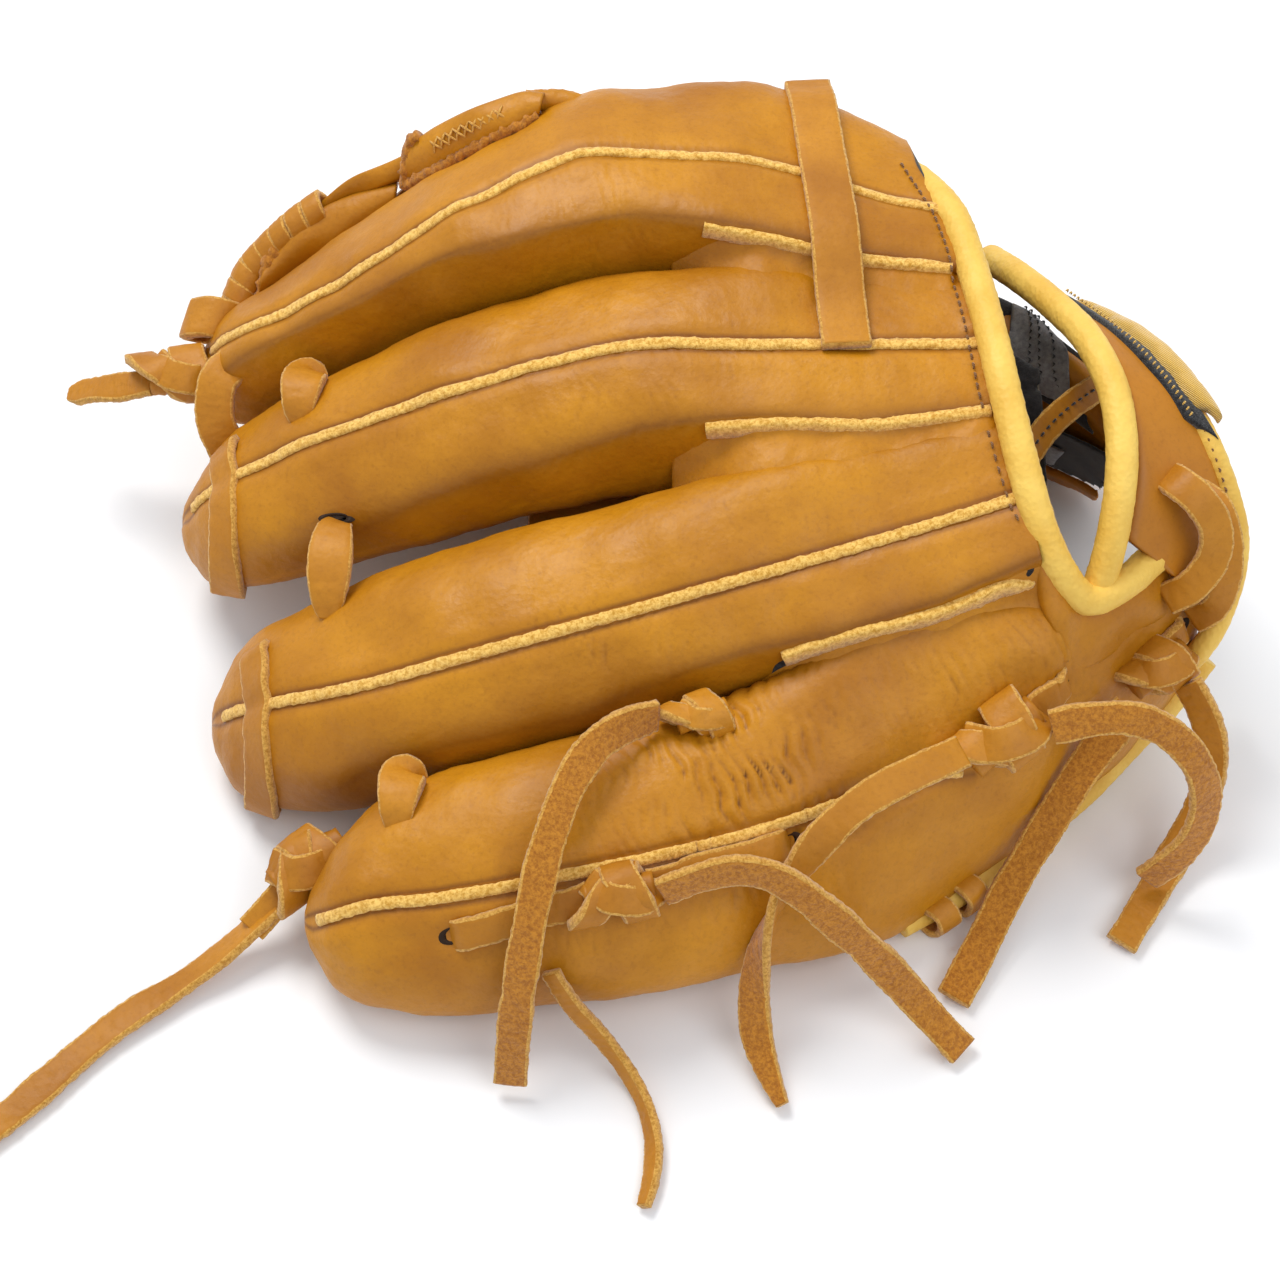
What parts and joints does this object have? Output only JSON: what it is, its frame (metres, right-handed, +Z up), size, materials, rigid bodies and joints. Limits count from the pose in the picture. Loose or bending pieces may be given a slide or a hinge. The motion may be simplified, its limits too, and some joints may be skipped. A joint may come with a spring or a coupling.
{
  "type": "baseball glove",
  "caption": "Left-hand leather fielding glove lying palm down, with welted finger stalls, closed web, wrist strap and free lace ends.",
  "frame": {"origin": "centre of the glove's own box in plan, on the plane that it rests on (free lace ends not counted)", "axes": "+Z up, back of the hand upwards; fingers point to -X and the wrist to +X; thumb and web towards +Y, little finger towards -Y"},
  "size_m": [0.334, 0.2899, 0.1125],
  "materials": {
    "shell_leather": "satin full-grain steerhide, golden tan",
    "palm_leather": "satin full-grain steerhide, golden tan, rubbed",
    "strap_leather": "smooth tan leather with light cut edges",
    "welt": "raw cut edge, light tan and fuzzy",
    "binding": "pebbled pale yellow leather roll",
    "lace": "rawhide lace, smooth outside and suede inside",
    "lining": "soft near-black lining leather",
    "felt": "pressed wool felt",
    "patch_backing": "black felt with stitched edge",
    "patch_face": "satin stitched gold thread",
    "label": "grey woven label, blank"
  },
  "bodies": {
    "hand": {"index_shell": "shell_leather", "middle_shell": "shell_leather", "index_lining": "lining", "middle_lining": "lining", "index_welt": "welt", "middle_welt": "welt", "index_middle_welt": "welt", "middle_ring_welt": "welt", "palm_leather": "palm_leather", "palm_felt_pad": "felt", "palm_lining": "lining", "back_binding": "binding", "wrist_strap": "shell_leather", "strap_inner_binding": "binding", "strap_outer_binding": "binding", "patch_backing": "patch_backing", "patch_face": "patch_face", "web_index_panel": "palm_leather", "web_thumb_panel": "palm_leather", "web_lace": "lace", "crotch_panel": "shell_leather", "index_middle_tip_lace": "lace", "middle_ring_tip_lace": "lace", "index_finger_strap": "strap_leather", "middle_tip_strip": "strap_leather", "index_tip_knot": "lace", "index_tip_tail": "lace", "strap_lace_loop": "lace"},
    "pinky_side": {"ring_shell": "shell_leather", "little_shell": "shell_leather", "ring_lining": "lining", "little_lining": "lining", "little_felt_insert": "felt", "ring_welt": "welt", "little_welt": "welt", "ring_little_welt": "welt", "palm_leather_little_side": "palm_leather", "heel_corner_binding": "binding", "little_heel_binding": "binding", "ring_little_tip_lace": "lace", "ring_tip_strip": "strap_leather", "little_tip_knot": "lace", "knuckle_knot": "lace", "side_knot": "lace", "heel_knot": "lace", "wrist_knot": "lace", "little_tip_tail": "lace", "knuckle_tail": "lace", "side_tail": "lace", "side_thin_tail": "lace", "heel_left_tail": "lace", "heel_right_tail": "lace", "wrist_suede_tail": "lace", "wrist_grain_tail": "lace"},
    "thumb_side": {"thumb_shell": "shell_leather", "thumb_lining": "lining", "thumb_felt_insert": "felt", "thumb_heel_lining": "lining", "inner_label": "label", "thumb_heel_facing": "shell_leather"}
  },
  "joints": [
    {"name": "pocket_hinge", "type": "hinge", "parent": "hand", "child": "thumb_side", "pos_m": [0.0131, 0.0692, 0.0612], "axis": [0.9782, -0.2071, 0.0173], "range_deg": [-3, 20], "deforming": ["web_index_panel", "web_thumb_panel", "web_lace", "crotch_panel"]},
    {"name": "pinky_wrap", "type": "hinge", "parent": "hand", "child": "pinky_side", "pos_m": [-0.0089, -0.0033, 0.039], "axis": [0.9859, 0.0329, 0.1643], "range_deg": [-2, 10]}
  ]
}
